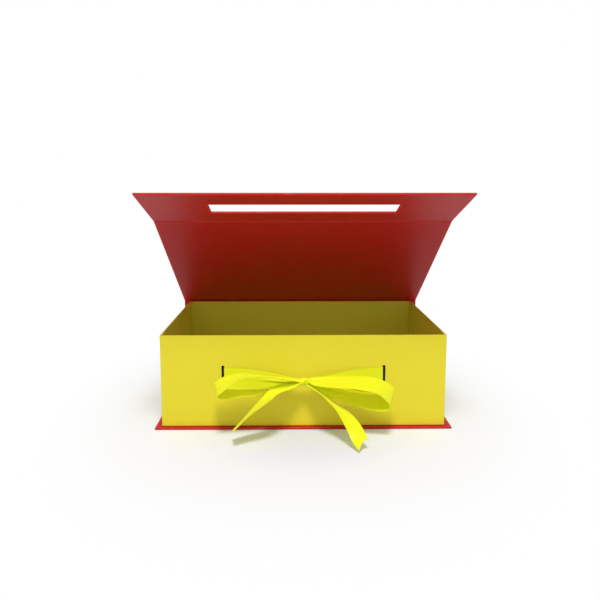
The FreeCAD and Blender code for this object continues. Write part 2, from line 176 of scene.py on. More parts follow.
SKY_LIGHT = 0.49
LAMP_PLACE = Vector((0, -1.10, 1.90))
LAMP_AIM = Vector((0, 0, 0.05))
LAMP_SIZE = 0.5
LAMP_POWER = 26.5
FLOOR_HALF = 30.0
FLOOR_DROP = 0.0001
FLOOR_TONE = 0.94
FLOOR_BOUNCE = 0.70
FLOOR_GLOW = 0.06
# Painted near the box: a faint blue glow and a cool floor tint, against the walls' yellow light.
FLOOR_COUNTER_BOUNCE_GLOW = (0.5, 0.55, 1.2)
FLOOR_COUNTER_BOUNCE_TINT = (0.84, 0.865, 1.0)
FLOOR_BEYOND = (0.97, 0.985, 1.0)
FLOOR_NEAR = 0.16
FLOOR_FAR = 0.47
FLOOR_STRETCH = (1.6, 1.0, 1.0)
FLOOR_TINT_NEAR = 0.12
FLOOR_TINT_FAR = 0.24
FLOOR_GRAIN = 0.02
FLOOR_GRAIN_SCALE = 260.0

world = bpy.data.worlds.new("studio")
scene.world = world
world.use_nodes = True
sky = Finish(world.node_tree)
sky_seen = sky.add("ShaderNodeLightPath")[0]
sky_strength = sky_seen * (1 - SKY_LIGHT) + SKY_LIGHT
sky_glow = sky.add("ShaderNodeBackground", {}, {"Color": (1, 1, 1), "Strength": sky_strength})[0]
sky.add("ShaderNodeOutputWorld", {}, {0: sky_glow})

floor_mesh = bpy.data.meshes.new("floor")
floor_signs = ((-1, -1), (1, -1), (1, 1), (-1, 1))
floor_corners = [(x * FLOOR_HALF, y * FLOOR_HALF, -FLOOR_DROP) for x, y in floor_signs]
floor_mesh.from_pydata(floor_corners, [], [(0, 1, 2, 3)])
floor = bpy.data.objects.new("floor", floor_mesh)
scene.collection.objects.link(floor)
floor_material = bpy.data.materials.new("pale_floor")
floor_material.use_nodes = True
ground = Finish(floor_material.node_tree)
ground_place = ground.add("ShaderNodeTexCoord")[3]
ground_wide = ground.add(
    "ShaderNodeVectorMath", {"operation": "MULTIPLY"}, {0: ground_place, 1: FLOOR_STRETCH}
)[0]
ground_reach = ground.add("ShaderNodeVectorMath", {"operation": "LENGTH"}, {0: ground_wide})[1]
ground_fade = ground.add(
    "ShaderNodeMapRange",
    {"interpolation_type": "SMOOTHSTEP"},
    {"Value": ground_reach, "From Min": FLOOR_NEAR, "From Max": FLOOR_FAR, "To Min": FLOOR_GLOW},
)[0]
ground_seen = ground.add("ShaderNodeLightPath")[0]
ground_grain = ground.noise(ground_place, FLOOR_GRAIN_SCALE, 3.0, 0.6)
ground_away = ground.add(
    "ShaderNodeMapRange",
    {},
    {"Value": ground_reach, "From Min": FLOOR_TINT_NEAR, "From Max": FLOOR_TINT_FAR},
)[0]
# Painted cool tint near the box, against the yellow light reflected from the walls.
ground_counter_bounce_tint = ground.mix(ground_away, FLOOR_COUNTER_BOUNCE_TINT, FLOOR_BEYOND)
ground_paper = ground.scaled(ground_counter_bounce_tint, FLOOR_TONE + (ground_grain - 0.5) * FLOOR_GRAIN)
ground_bounce = (FLOOR_BOUNCE, FLOOR_BOUNCE, FLOOR_BOUNCE)
ground_colour = ground.mix(ground_seen, ground_bounce, ground_paper)
ground_matte = ground.add("ShaderNodeBsdfDiffuse", {}, {"Color": ground_colour})[0]
# Painted blue glow near the box, against the walls' yellow light; white further away.
ground_glow_and_counter_bounce = ground.mix(ground_away, FLOOR_COUNTER_BOUNCE_GLOW, (1, 1, 1))
ground_white_and_counter_glow = ground.add("ShaderNodeEmission", {}, {"Color": ground_glow_and_counter_bounce, "Strength": 1.0})[0]
ground_mix = ground.add(
    "ShaderNodeMixShader", {}, {0: ground_fade * ground_seen, 1: ground_matte, 2: ground_white_and_counter_glow}
)[0]
ground.add("ShaderNodeOutputMaterial", {}, {0: ground_mix})
floor_mesh.materials.append(floor_material)

lamp_data = bpy.data.lights.new("lamp", "AREA")
lamp_data.shape = "DISK"
lamp_data.size = LAMP_SIZE
lamp_data.energy = LAMP_POWER
lamp = bpy.data.objects.new("lamp", lamp_data)
scene.collection.objects.link(lamp)
lamp.location = LAMP_PLACE
lamp.rotation_euler = (LAMP_AIM - lamp.location).to_track_quat("-Z", "Y").to_euler()

# Boards: grey pressed card, cut square. They carry the whole box and are hidden by their
# paper; the card's speckled fibres show only where a wrap would be opened.
GREYBOARD = colour(146, 139, 126)
CARD_FLECK_SCALE = 900.0
CARD_CLOUD_SCALE = 35.0
CARD_RELIEF = 0.00005


def new_finish(name):
    """A new material and the nodes to fill it with."""
    material = bpy.data.materials.new(name)
    material.use_nodes = True
    return material, Finish(material.node_tree)


greyboard, card = new_finish("greyboard")
card_place = card.add("ShaderNodeTexCoord")[3]
card_fleck = card.noise(card_place, CARD_FLECK_SCALE, 3.0, 0.7)
card_cloud = card.noise(card_place, CARD_CLOUD_SCALE)
card_tone = card.scaled(GREYBOARD, 0.86 + card_fleck * 0.2 + card_cloud * 0.08)
card_bump = card.add(
    "ShaderNodeBump", {}, {"Strength": 0.4, "Distance": CARD_RELIEF, "Height": card_fleck}
)[0]
card_surface = card.add(
    "ShaderNodeBsdfPrincipled",
    {},
    {"Base Color": card_tone, "Roughness": 0.85, "Specular IOR Level": 0.2, "Normal": card_bump},
)[0]
card.add("ShaderNodeOutputMaterial", {}, {0: card_surface})
for node_name, node in frame["nodes"].items():
    if node_name.endswith("_board"):
        node.data.materials.clear()
        node.data.materials.append(greyboard)


# Wraps: coloured paper glued round each board and turned in over its edges. The paper is
# dyed and calendered: a faint cloud in the colour, fine fibres, paler where an edge rubs.
PAPER_FIBRE_SCALE = 1400.0
PAPER_TOOTH_SCALE = 420.0
PAPER_CLOUD_SCALE = 9.0
PAPER_RUB_SCALE = 60.0
PAPER_RUB_FROM = 0.52
PAPER_RUB_TO = 0.72
PAPER_RELIEF = 0.00003


def paper_finish(name, tone, roughness, gloss, cloud, rub):
    """Paper of one colour. cloud and rub are how much the colour and the edges vary."""
    material, paper = new_finish(name)
    place = paper.add("ShaderNodeTexCoord")[3]
    fibre = paper.noise(place, PAPER_FIBRE_SCALE, 3.0, 0.65)
    tooth = paper.noise(place, PAPER_TOOTH_SCALE, 2.0, 0.6)
    clouds = paper.noise(place, PAPER_CLOUD_SCALE, 2.0, 0.5)
    edge = paper.add("ShaderNodeAttribute", {"attribute_name": "edge"})[2]
    patches = paper.noise(place, PAPER_RUB_SCALE, 4.0, 0.6)
    rubbed = paper.add(
        "ShaderNodeMapRange",
        {},
        {"Value": patches, "From Min": PAPER_RUB_FROM, "From Max": PAPER_RUB_TO, "To Max": rub},
    )[0]
    dyed = paper.scaled(tone, 1.0 + (clouds - 0.5) * cloud + (tooth - 0.5) * 0.05)
    worn = paper.mix(edge * rubbed, dyed, tuple(0.45 + 0.5 * c for c in tone))
    height = fibre * 0.5 + tooth * 0.5
    bump = paper.add(
        "ShaderNodeBump", {}, {"Strength": 0.35, "Distance": PAPER_RELIEF, "Height": height}
    )[0]
    surface = paper.add(
        "ShaderNodeBsdfPrincipled",
        {},
        {
            "Base Color": worn,
            "Roughness": roughness + (tooth - 0.5) * 0.12,
            "Specular IOR Level": gloss,
            "Normal": bump,
        },
    )[0]
    paper.add("ShaderNodeOutputMaterial", {}, {0: surface})
    return material


RED = colour(206, 30, 32)
RED_LINING = colour(189, 8, 20)
YELLOW = colour(245, 231, 52)
YELLOW_LINING = colour(237, 240, 72)
red_paper = paper_finish("red_paper", RED, 0.5, 0.35, 0.06, 0.1)
red_lining = paper_finish("red_lining", RED_LINING, 0.45, 0.33, 0.06, 0.1)
yellow_paper = paper_finish("yellow_paper", YELLOW, 0.55, 0.3, 0.05, 0.1)
yellow_lining = paper_finish("yellow_lining", YELLOW_LINING, 0.55, 0.3, 0.05, 0.1)


def tree_input(group, name, kind, default):
    """A named input of a rule, with its default unless that is None."""
    socket = group.interface.new_socket(name, in_out="INPUT", socket_type=kind)
    if default is not None:
        socket.default_value = default


# The rule for every panel: one outline is filled for the two faces, and a softly crowned
# edge runs round it and, turned the other way, round each window cut in it.
CORNER_STEPS = 6
EDGE_STEPS = 9
EDGE_FULLNESS = 0.6
WELD_DISTANCE = 0.000002
sheet_rule = bpy.data.node_groups.new("wrapped_sheet", "GeometryNodeTree")
sheet_rule.interface.new_socket("Geometry", in_out="OUTPUT", socket_type="NodeSocketGeometry")
for input_name, input_default in (
    ("Width", 0.3),
    ("Length", 0.1),
    ("Thickness", 0.002),
    ("Edge Crown", 0.0004),
    ("Corner Radius", 0.0006),
    ("Window Width", 0.01),
    ("Window Length", 0.01),
    ("Window Corner", 0.0006),
    ("Window Centre", 0.0),
    ("Window Spacing", 0.0),
):
    tree_input(sheet_rule, input_name, "NodeSocketFloat", input_default)
tree_input(sheet_rule, "Windows", "NodeSocketInt", 0)
tree_input(sheet_rule, "Paper", "NodeSocketMaterial", None)
tree_input(sheet_rule, "Back Paper", "NodeSocketMaterial", None)

rule = Finish(sheet_rule)
given = rule.add("NodeGroupInput")
width, length, thickness, crown, corner = given[:5]
cut_width, cut_length, cut_corner, cut_centre, cut_spacing, cut_count = given[5:11]
front_paper, back_paper = given[11:13]


def rounded_outline(outline_width, outline_length, radius):
    """A rectangle with rounded corners."""
    sizes = {0: outline_width, 1: outline_length}
    outline = rule.add("GeometryNodeCurvePrimitiveQuadrilateral", {}, sizes)[0]
    inputs = {"Curve": outline, "Radius": radius, "Count": CORNER_STEPS}
    return rule.add("GeometryNodeFilletCurve", {"mode": "POLY"}, inputs)[0]


outline = rounded_outline(width - crown * 2, length - crown * 2, corner)
cut = rounded_outline(cut_width + crown * 2, cut_length + crown * 2, cut_corner)
cut = rule.add("GeometryNodeReverseCurve", {}, {0: cut})[0]
cut_first = (1 - cut_count) * cut_spacing / 2
cut_start = rule.add("ShaderNodeCombineXYZ", {}, {0: cut_first, 1: cut_centre})[0]
cut_step = rule.add("ShaderNodeCombineXYZ", {}, {0: cut_spacing})[0]
cut_line = rule.add(
    "GeometryNodeMeshLine", {}, {"Count": cut_count, "Start Location": cut_start, "Offset": cut_step}
)[0]
cuts = rule.add("GeometryNodeInstanceOnPoints", {}, {"Points": cut_line, "Instance": cut})[0]
cuts = rule.add("GeometryNodeRealizeInstances", {}, {0: cuts})[0]


def joined(parts):
    """Several geometries as one."""
    join = rule.tree.nodes.new("GeometryNodeJoinGeometry")
    for part in parts:
        rule.tree.links.new(part.socket, join.inputs[0])
    return Wire(rule, join.outputs[0])


outlines = joined([outline, cuts])
outlines = rule.add("GeometryNodeSetCurveNormal", {"mode": "Z_UP"}, {0: outlines})[0]
arc = rule.add(
    "GeometryNodeCurveArc",
    {"mode": "RADIUS"},
    {
        "Resolution": EDGE_STEPS,
        "Radius": 1.0,
        "Start Angle": math.radians(-90),
        "Sweep Angle": math.radians(180),
    },
)[0]
arc_x, arc_y, _ = rule.add("ShaderNodeSeparateXYZ", {}, {0: rule.add("GeometryNodeInputPosition")[0]})
arc_out = rule.add("ShaderNodeMath", {"operation": "MAXIMUM"}, {0: arc_x, 1: 0.0})[0] ** EDGE_FULLNESS
arc_place = rule.add("ShaderNodeCombineXYZ", {}, {0: arc_out * crown, 1: arc_y * thickness / 2})[0]
profile = rule.add("GeometryNodeSetPosition", {}, {"Geometry": arc, "Position": arc_place})[0]
edge_band = rule.add("GeometryNodeCurveToMesh", {}, {"Curve": outlines, "Profile Curve": profile})[0]
edge_band = rule.add("GeometryNodeSetShadeSmooth", {}, {0: edge_band})[0]
edge_band = rule.add(
    "GeometryNodeStoreNamedAttribute",
    {"data_type": "FLOAT", "domain": "FACE"},
    {"Geometry": edge_band, "Name": "edge", "Value": 1.0},
)[0]
face = rule.add("GeometryNodeFillCurve", {"mode": "TRIANGLES"}, {0: outlines})[0]
face = rule.add("GeometryNodeSetShadeSmooth", {}, {0: face, 2: False})[0]
upper_lift = rule.add("ShaderNodeCombineXYZ", {}, {2: thickness / 2})[0]
lower_lift = rule.add("ShaderNodeCombineXYZ", {}, {2: thickness * -0.5})[0]
upper = rule.add("GeometryNodeTransform", {}, {"Geometry": face, "Translation": upper_lift})[0]
lower = rule.add("GeometryNodeTransform", {}, {"Geometry": face, "Translation": lower_lift})[0]
lower = rule.add("GeometryNodeFlipFaces", {}, {0: lower})[0]
lower = rule.add("GeometryNodeSetMaterial", {}, {"Geometry": lower, "Material": back_paper})[0]
front = joined([upper, edge_band])
front = rule.add("GeometryNodeSetMaterial", {}, {"Geometry": front, "Material": front_paper})[0]
panel = rule.add("GeometryNodeRealizeInstances", {}, {0: joined([front, lower])})[0]
panel = rule.add("GeometryNodeMergeByDistance", {}, {"Geometry": panel, "Distance": WELD_DISTANCE})[0]
rule.add("NodeGroupOutput", {}, {0: panel})


def finished_mesh(piece):
    """The piece with its modifiers worked into a plain mesh."""
    bpy.context.view_layer.update()
    evaluated = piece.evaluated_get(bpy.context.evaluated_depsgraph_get())
    made = bpy.data.meshes.new_from_object(evaluated)
    piece.modifiers.clear()
    piece.data = made
    return piece


def wrapped_sheet(name, place, paper, back_paper, **sizes):
    """A panel or sheet made by the rule, then put at its place."""
    piece = bpy.data.objects.new(name, bpy.data.meshes.new(name))
    scene.collection.objects.link(piece)
    modifier = piece.modifiers.new("rule", "NODES")
    modifier.node_group = sheet_rule
    sockets = {}
    for item in sheet_rule.interface.items_tree:
        if item.item_type == "SOCKET":
            sockets[item.name] = item.identifier
    modifier[sockets["Paper"]] = paper
    modifier[sockets["Back Paper"]] = back_paper
    for size_name, size in sizes.items():
        modifier[sockets[size_name.replace("_", " ").title()]] = size
    finished_mesh(piece)
    piece.data.transform(place)
    return piece


def facing(centre, along, inner):
    """A place: local Y runs along the panel, local Z points to its lined side."""
    across = along.cross(inner)
    turn = Matrix((across, along, inner)).transposed()
    return Matrix.Translation(centre) @ turn.to_4x4()


def dress(piece, node, body):
    """The piece takes the place and the motion of a CAD node."""
    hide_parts(node)
    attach(piece, body)


PANEL_THICKNESS = (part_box("base_wrap")[1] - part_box("base_wrap")[0]).z
LINING_MARGIN = 2.5 * MM
LINING_RISE = 0.06 * MM
LINING_THICKNESS = 0.2 * MM
LINING_CROWN = 0.08 * MM


def lining_sheet(name, body, place, rise, width, length, sheet, back_paper, **windows):
    """A lining whose face stands above the face of its board by a rise."""
    slot, paper = sheet
    lift = PANEL_THICKNESS / 2 + rise - LINING_THICKNESS / 2
    sheet_place = place @ Matrix.Translation((0, 0, lift))
    lining = wrapped_sheet(
        f"{name}_lining", sheet_place, paper, back_paper, width=width, length=length,
        thickness=LINING_THICKNESS, edge_crown=LINING_CROWN, **windows,
    )
    dress(lining, f"{name}_liner", body)


def panel_wrap(name, body, along, inner, width, length, sheet, **windows):
    """The paper round one board, in the space of its CAD node. Returns the board's place."""
    slot, paper = sheet
    low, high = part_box(f"{name}_wrap")
    place = facing((low + high) / 2, along, inner)
    wrap = wrapped_sheet(
        f"{name}_paper", place, paper, paper, width=width, length=length,
        thickness=PANEL_THICKNESS, **windows,
    )
    dress(wrap, f"{name}_wrap", body)
    return place


def wrapped_panel(name, body, along, inner, width, length, sheets, **windows):
    """One board's wrap, and its lining with the same windows a margin wider."""
    place = panel_wrap(name, body, along, inner, width, length, sheets[0], **windows)
    margin = 2 * LINING_MARGIN
    wider = {}
    for key, size in windows.items():
        wider[key] = size + margin if key in ("window_width", "window_length") else size
    lining_sheet(
        name, body, place, LINING_RISE, width - margin, length - margin,
        sheets[1], sheets[1][1], **wider,
    )


# Cover: four boards in a row under one red paper, lined in red. The base lies on the
# table, the spine stands at the back, and the lid and its windowed flap lean forward.
UP = Vector((0, 0, 1))
FORWARD = Vector((0, -1, 0))
BACK = Vector((0, 1, 0))
RED_SHEETS = (("red_paper", red_paper), ("red_liner", red_lining))
FLAP_WINDOW_WIDTH = 185 * MM
FLAP_WINDOW_LENGTH = 32 * MM
FLAP_WINDOW_CENTRE = -1.4 * MM
joints = {joint["name"]: joint for joint in frame["joints"]}
lid_lean = math.radians(-joints["lid_fold"]["range_deg"][0])
flap_lean = lid_lean - math.radians(joints["flap_fold"]["range_deg"][1])


def panel_size(name, lean=0.0):
    """Width and length of a panel that leans up from the front, read off its CAD box."""
    low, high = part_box(f"{name}_wrap")
    length = ((high - low).y - PANEL_THICKNESS * math.sin(lean)) / math.cos(lean)
    return (high - low).x, length


def leaning(angle):
    """Directions along a leaning panel, and out of its lined side."""
    along = Vector((0, -math.cos(angle), math.sin(angle)))
    inner = Vector((0, -math.sin(angle), -math.cos(angle)))
    return along, inner


base_width, base_length = panel_size("base")
wrapped_panel("base", "base", FORWARD, UP, base_width, base_length, RED_SHEETS)
spine_low, spine_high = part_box("spine_wrap")
wrapped_panel("spine", "spine", UP, FORWARD, base_width, (spine_high - spine_low).z, RED_SHEETS)
lid_width, lid_length = panel_size("lid", lid_lean)
lid_along, lid_inner = leaning(lid_lean)
wrapped_panel("lid", "lid", lid_along, lid_inner, lid_width, lid_length, RED_SHEETS)
flap_width, flap_length = panel_size("flap", flap_lean)
flap_along, flap_inner = leaning(flap_lean)
wrapped_panel(
    "flap", "flap", flap_along, flap_inner, flap_width, flap_length, RED_SHEETS,
    windows=1, window_width=FLAP_WINDOW_WIDTH, window_length=FLAP_WINDOW_LENGTH,
    window_centre=FLAP_WINDOW_CENTRE,
)

# Cover folds: between two boards the paper alone goes on, rounded by the boards' edges.
# The bead in each fold is the lining that goes on over it; a strip of the red paper spans
# the outside.
for node_name in ("base_crease", "lid_crease", "flap_crease"):
    node = frame["nodes"][node_name]
    node.data.materials.clear()
    node.data.materials.append(red_lining)

FOLD_LAP = 1.9 * MM
FOLD_STEPS = 12
FOLD_PAPER = 0.12 * MM


def paper_strip(name, rows, paper):
    """A closed strip of paper. Each row holds the corners of one cross-section."""
    made = bmesh.new()
    rings = [[made.verts.new(corner) for corner in row] for row in rows]
    for ring, following in zip(rings, rings[1:]):
        for i in range(4):
            j = (i + 1) % 4
            made.faces.new((ring[i], ring[j], following[j], following[i]))
    made.faces.new(rings[0])
    made.faces.new(rings[-1])
    bmesh.ops.recalc_face_normals(made, faces=made.faces)
    mesh = bpy.data.meshes.new(name)
    made.to_mesh(mesh)
    made.free()
    mesh.shade_smooth()
    mesh.set_sharp_from_angle(angle=math.radians(40))
    mesh.materials.append(paper)
    strip = bpy.data.objects.new(name, mesh)
    scene.collection.objects.link(strip)
    return strip


def fold_strip(name, centre, first, second):
    """The red paper outside a cover fold. first and second are each panel's outward
    direction and its direction away from the fold."""
    radius = PANEL_THICKNESS / 2
    first_out, first_away = first
    second_out, second_away = second
    section = [(first_out, first_away * FOLD_LAP), (first_out, first_away * FOLD_LAP / 2)]
    for i in range(FOLD_STEPS + 1):
        section.append((first_out.slerp(second_out, i / FOLD_STEPS), Vector()))
    section += [(second_out, second_away * FOLD_LAP / 2), (second_out, second_away * FOLD_LAP)]
    left = Vector((-base_width / 2, 0, 0))
    rows = []
    for out, shift in section:
        outer = centre + shift + out * radius
        under = centre + shift + out * (radius - FOLD_PAPER)
        rows.append((outer + left, outer - left, under - left, under + left))
    strip = paper_strip(name, rows, red_paper)
    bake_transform(strip)


base_fold = Vector(joints["spine_fold"]["pos_m"])
lid_fold = Vector(joints["lid_fold"]["pos_m"])
flap_fold = Vector(joints["flap_fold"]["pos_m"])
fold_strip("base_fold_paper", base_fold, (-UP, FORWARD), (BACK, UP))
fold_strip("lid_fold_paper", lid_fold, (BACK, -UP), (-lid_inner, lid_along))
fold_strip(
    "flap_fold_paper", flap_fold,
    (-lid_inner, -lid_along), (-flap_inner, flap_along),
)

# Tray: six yellow wrapped boards that stand round a yellow floor sheet. The back wall is
# glued to the spine; each side wall is two halves that fold at their middle.
YELLOW_SHEETS = (("yellow_paper", yellow_paper), ("yellow_liner", yellow_lining))
floor_sheet = frame["nodes"]["floor_sheet"]
floor_sheet.data.materials.clear()
floor_sheet.data.materials.append(yellow_lining)
wall_low, wall_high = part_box("back_wall_wrap")
wall_width = (wall_high - wall_low).x
wall_height = (wall_high - wall_low).z
wrapped_panel("back_wall", "spine", UP, FORWARD, wall_width, wall_height, YELLOW_SHEETS)
half_low, half_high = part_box("left_rear_wrap")
half_length = (half_high - half_low).y
for side_name, inwards in (("left", Vector((1, 0, 0))), ("right", Vector((-1, 0, 0)))):
    for half_name in ("rear", "front"):
        half = f"{side_name}_{half_name}"
        wrapped_panel(half, half, FORWARD, inwards, wall_height, half_length, YELLOW_SHEETS)
for node_name, node in frame["nodes"].items():
    if node_name.endswith("corner_crease"):
        node.data.materials.clear()
        node.data.materials.append(yellow_paper)

# Front wall: two upright slots let the ribbon through. Its lining has no slots: it covers
# the ribbon's band, and its back is painted near-black as shade, so the slots look dark.
SLOT_WIDTH = 3.0 * MM
SLOT_LENGTH = 28 * MM
SLOT_SPACING = 169.2 * MM
SLOT_CENTRE = 2.55 * MM
# Painted shade: the near-black back of the front wall's lining, seen through the slots.
PAINTED_SLOT_SHADE_TONE = (0.012, 0.011, 0.010)
SLOT_SHADE_FIBRE_SCALE = 700.0
painted_slot_shade, slot_shade_nodes = new_finish("painted_slot_shade")
slot_shade_place = slot_shade_nodes.add("ShaderNodeTexCoord")[3]
slot_shade_fibre = slot_shade_nodes.noise(slot_shade_place, SLOT_SHADE_FIBRE_SCALE, 3.0, 0.6)
slot_shade_colour = slot_shade_nodes.scaled(PAINTED_SLOT_SHADE_TONE, 0.7 + slot_shade_fibre * 0.6)
slot_shade_surface = slot_shade_nodes.add(
    "ShaderNodeBsdfPrincipled",
    {},
    {"Base Color": slot_shade_colour, "Roughness": 0.9, "Specular IOR Level": 0.1},
)[0]
slot_shade_nodes.add("ShaderNodeOutputMaterial", {}, {0: slot_shade_surface})
front_place = panel_wrap(
    "front_wall", "front_wall", UP, BACK, wall_width, wall_height, YELLOW_SHEETS[0],
    windows=2, window_width=SLOT_WIDTH, window_length=SLOT_LENGTH, window_centre=SLOT_CENTRE,
    window_corner=SLOT_WIDTH / 2, window_spacing=SLOT_SPACING,
)
front_low, front_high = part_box("front_wall_liner")
front_size = front_high - front_low
front_rise = front_high.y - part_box("front_wall_wrap")[1].y
lining_sheet(
    "front_wall", "front_wall", front_place, front_rise, front_size.x, front_size.z,
    YELLOW_SHEETS[1], painted_slot_shade,
)

# Centre folds of the side walls: a narrow strip of the yellow paper outside, over the gap
# where the two halves of a side wall fold face to face. It swells a little over the gap.
STRIP_HALF = 2.2 * MM
STRIP_RISE = 0.16 * MM
STRIP_BURIED = 0.05 * MM
STRIP_STEPS = 10
for side_name, side in (("left", -1), ("right", 1)):
    low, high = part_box(f"{side_name}_rear_wrap")
    outer_face = low.x if side < 0 else high.x
    rows = []
    for i in range(STRIP_STEPS + 1):
        along = 1 - 2 * i / STRIP_STEPS
        outer = outer_face + side * STRIP_RISE * math.sqrt(1 - abs(along) ** 3)
        under = outer_face - side * STRIP_BURIED
        y = along * STRIP_HALF
        rows.append([(outer, y, low.z), (outer, y, high.z), (under, y, high.z), (under, y, low.z)])
    strip = paper_strip(f"{side_name}_centre_fold_paper", rows, yellow_paper)
    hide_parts(f"{side_name}_centre_crease")
    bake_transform(strip)

# Ribbon: one woven satin ribbon, 24 mm wide. It runs behind the front wall, comes out of
# the two slots and is tied over the front in a bow. Stations are its two edges.
RIBBON_TONE = colour(250, 255, 22)
RIBBON_WIDTH = 24 * MM
RIBBON_LEVEL = 54 * MM
RIBBON_STEP = 1.1 * MM
RIBBON_COLUMNS = 24
RIBBON_THICKNESS = 0.25 * MM
WEFT_PITCH = 0.00032
WARP_PITCH = 0.00026
SELVEDGE_FROM = 0.0011
SELVEDGE_TO = 0.0008
WEAVE_RELIEF = 0.00004
PLEAT_WAVES = ((1.0, 2.5, 0.1), (0.45, 4.2, 0.35))
wall_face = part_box("front_wall_wrap")[0].y

satin, weave = new_finish("yellow_ribbon")
weave_place = weave.add("ShaderNodeUVMap", {"uv_map": "ribbon"})[0]
weave_along, weave_across, _ = weave.add("ShaderNodeSeparateXYZ", {}, {0: weave_place})
weft = weave.add(
    "ShaderNodeMath", {"operation": "SINE"}, {0: weave_along * (2 * math.pi / WEFT_PITCH)}
)[0]
warp = weave.add(
    "ShaderNodeMath", {"operation": "SINE"}, {0: weave_across * (2 * math.pi / WARP_PITCH)}
)[0]
from_middle = weave.add(
    "ShaderNodeMath", {"operation": "ABSOLUTE"}, {0: weave_across - RIBBON_WIDTH / 2}
)[0]
selvedge = weave.add(
    "ShaderNodeMapRange",
    {},
    {
        "Value": from_middle,
        "From Min": RIBBON_WIDTH / 2 - SELVEDGE_FROM,
        "From Max": RIBBON_WIDTH / 2 - SELVEDGE_TO,
    },
)[0]
thread = warp * 0.35 + weft * (0.25 + selvedge * 0.5)
weave_cloud = weave.noise(weave.add("ShaderNodeTexCoord")[3], 45.0, 3.0)
weave_tone = 0.97 + thread * 0.03 + (weave_cloud - 0.5) * 0.05 - selvedge * 0.04
woven = weave.scaled(RIBBON_TONE, weave_tone)
weave_bump = weave.add(
    "ShaderNodeBump", {}, {"Strength": 0.3, "Distance": WEAVE_RELIEF, "Height": thread}
)[0]
ribbon_surface = weave.add(
    "ShaderNodeBsdfPrincipled",
    {},
    {
        "Base Color": woven,
        "Roughness": 0.48 + thread * 0.05,
        "Specular IOR Level": 0.3,
        "Sheen Weight": 0.1,
        "Normal": weave_bump,
    },
)[0]
weave.add("ShaderNodeOutputMaterial", {}, {0: ribbon_surface})


def natural_spline(places, values, wanted):
    """A smooth curve through values at places, read at the wanted places."""
    places = np.asarray(places, float)
    values = np.asarray(values, float)
    n = len(places)
    gaps = np.diff(places)
    slopes = np.diff(values, axis=0) / gaps[:, None]
    system = np.eye(n)
    right = np.zeros_like(values)
    for i in range(1, n - 1):
        system[i, i - 1 : i + 2] = gaps[i - 1], 2 * (gaps[i - 1] + gaps[i]), gaps[i]
        right[i] = 6 * (slopes[i] - slopes[i - 1])
    bends = np.linalg.solve(system, right)
    k = np.clip(np.searchsorted(places, wanted) - 1, 0, n - 2)
    t = (np.asarray(wanted) - places[k])[:, None]
    gap = gaps[k][:, None]
    start = slopes[k] - gap * (2 * bends[k] + bends[k + 1]) / 6
    return values[k] + t * (start + t * (bends[k] / 2 + t * (bends[k + 1] - bends[k]) / (6 * gap)))


def drawn_line(places, values, wanted, smooth):
    """A line through values at places: a smooth curve, or straight from one to the next."""
    if smooth:
        return natural_spline(places, values, wanted)
    return np.stack([np.interp(wanted, places, values[:, i]) for i in range(3)], 1)


def profile_depth(share, stops):
    """Depths (m) along a ribbon from stops of its share and depth (mm)."""
    return np.interp(share, [stop[0] for stop in stops], [stop[1] for stop in stops]) * MM


def pleat_wave(v):
    """How the pleats rise and fall over the ribbon's width, from 0 to 1."""
    return sum(size * math.sin(2 * math.pi * (count * v + start)) for size, count, start in PLEAT_WAVES)


def ribbon_place(side, forward, up):
    """A station's place from mm to the right, out from the wall and up from the slots."""
    return (side * MM, wall_face - forward * MM, RIBBON_LEVEL + up * MM)


def ribbon_piece(name, stations, pleats, cup, node, notch=(0.0, 0.5), smooth=True):
    """A length of ribbon through its stations, with its pleats, replacing its CAD node.

    pleats gives, along the ribbon from 0 to 1, how deep it is gathered (mm); cup is how
    far its middle stands out of line with its edges (mm). notch is how deep its end is
    cut in (mm), and at what share of its width."""
    first = np.array([ribbon_place(*back) for back, _ in stations])
    second = np.array([ribbon_place(*front) for _, front in stations])
    middle = (first + second) / 2
    places = np.concatenate(([0], np.cumsum(np.linalg.norm(np.diff(middle, axis=0), axis=1))))
    total = places[-1]
    rows = max(4, round(total / RIBBON_STEP))
    wanted = np.linspace(0, total, rows + 1)
    first_line = drawn_line(places, first, wanted, smooth)
    second_line = drawn_line(places, second, wanted, smooth)
    run = np.gradient((first_line + second_line) / 2, axis=0)
    across = second_line - first_line
    normal = np.cross(across, run)
    normal /= np.linalg.norm(normal, axis=1)[:, None]
    share = wanted / total
    pleat_depth = profile_depth(share, pleats)
    cup_depth = profile_depth(share, cup)
    cut_depth, cut_place = notch
    end_run = run[-1] / np.linalg.norm(run[-1])
    vertices = []
    for i in range(rows + 1):
        for j in range(RIBBON_COLUMNS + 1):
            v = j / RIBBON_COLUMNS
            wave = pleat_wave(v) * (1 - (2 * v - 1) ** 6)
            arch = 1 - (2 * v - 1) ** 2
            offset = normal[i] * (pleat_depth[i] * wave + cup_depth[i] * arch)
            beside = (v - cut_place) / (1 - cut_place if v > cut_place else cut_place)
            cut_back = cut_depth * MM * (1 - abs(beside)) - (total - wanted[i])
            vertices.append(first_line[i] + across[i] * v + offset - end_run * max(0.0, cut_back))
    faces = []
    columns = RIBBON_COLUMNS + 1
    for i in range(rows):
        for j in range(RIBBON_COLUMNS):
            a = i * columns + j
            faces.append((a, a + 1, a + 1 + columns, a + columns))
    mesh = bpy.data.meshes.new(name)
    mesh.from_pydata(vertices, [], faces)
    uv = mesh.uv_layers.new(name="ribbon")
    for loop in mesh.loops:
        i, j = divmod(loop.vertex_index, columns)
        uv.data[loop.index].uv = (wanted[i], RIBBON_WIDTH * j / RIBBON_COLUMNS)
    mesh.materials.append(satin)
    piece = bpy.data.objects.new(name, mesh)
    scene.collection.objects.link(piece)
    thicken = piece.modifiers.new("thickness", "SOLIDIFY")
    thicken.thickness = RIBBON_THICKNESS
    thicken.offset = 0
    finished_mesh(piece)
    piece.data.shade_smooth()
    piece.data.set_sharp_from_angle(angle=math.radians(50))
    dress(piece, node, "front_wall")
    return piece


